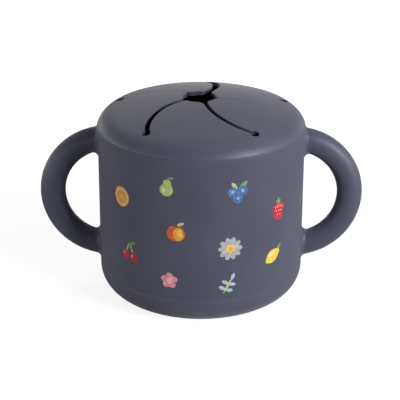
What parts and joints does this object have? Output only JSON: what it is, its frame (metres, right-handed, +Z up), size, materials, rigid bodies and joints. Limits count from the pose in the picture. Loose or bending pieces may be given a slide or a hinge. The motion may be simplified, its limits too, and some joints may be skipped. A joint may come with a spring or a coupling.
{
  "type": "toddler snack cup",
  "caption": "Round silicone snack cup with ring handles on both sides and a soft domed lid whose curved spring-back flaps let a small hand in and keep snacks inside.",
  "frame": {"origin": "centre of the flat base, on the surface that the cup stands on", "axes": "+Z up along the cup's axis, +X through the right handle, -Y to the printed front"},
  "size_m": [0.1426, 0.0904, 0.0892],
  "materials": {
    "cup_silicone": "matte moulded silicone",
    "lid_silicone": "matte soft moulded silicone"
  },
  "bodies": {
    "cup": {"cup_body": "cup_silicone", "left_handle": "cup_silicone", "right_handle": "cup_silicone"},
    "lid": {"lid_ring": "lid_silicone"},
    "flap_front": {"flap_front": "lid_silicone"},
    "flap_right": {"flap_right": "lid_silicone"},
    "flap_back_right": {"flap_back_right": "lid_silicone"},
    "flap_back_left": {"flap_back_left": "lid_silicone"},
    "flap_left": {"flap_left": "lid_silicone"}
  },
  "joints": [
    {"name": "lid_lift", "type": "slide", "parent": "cup", "child": "lid", "axis": [0, 0, 1], "range_m": [0, 0.06]},
    {"name": "flap_front_bend", "type": "hinge", "parent": "lid", "child": "flap_front", "pos_m": [0, -0.03054, 0.0836], "axis": [1, 0, 0], "range_deg": [-60, 30], "stiffness_Nm_per_rad": 0.02},
    {"name": "flap_right_bend", "type": "hinge", "parent": "lid", "child": "flap_right", "pos_m": [0.02905, -0.00944, 0.0836], "axis": [0.309, 0.9511, 0], "range_deg": [-60, 30], "stiffness_Nm_per_rad": 0.02},
    {"name": "flap_back_right_bend", "type": "hinge", "parent": "lid", "child": "flap_back_right", "pos_m": [0.01795, 0.02471, 0.0836], "axis": [-0.809, 0.5878, 0], "range_deg": [-60, 30], "stiffness_Nm_per_rad": 0.02},
    {"name": "flap_back_left_bend", "type": "hinge", "parent": "lid", "child": "flap_back_left", "pos_m": [-0.01795, 0.02471, 0.0836], "axis": [-0.809, -0.5878, 0], "range_deg": [-60, 30], "stiffness_Nm_per_rad": 0.02},
    {"name": "flap_left_bend", "type": "hinge", "parent": "lid", "child": "flap_left", "pos_m": [-0.02905, -0.00944, 0.0836], "axis": [0.309, -0.9511, 0], "range_deg": [-60, 30], "stiffness_Nm_per_rad": 0.02}
  ]
}
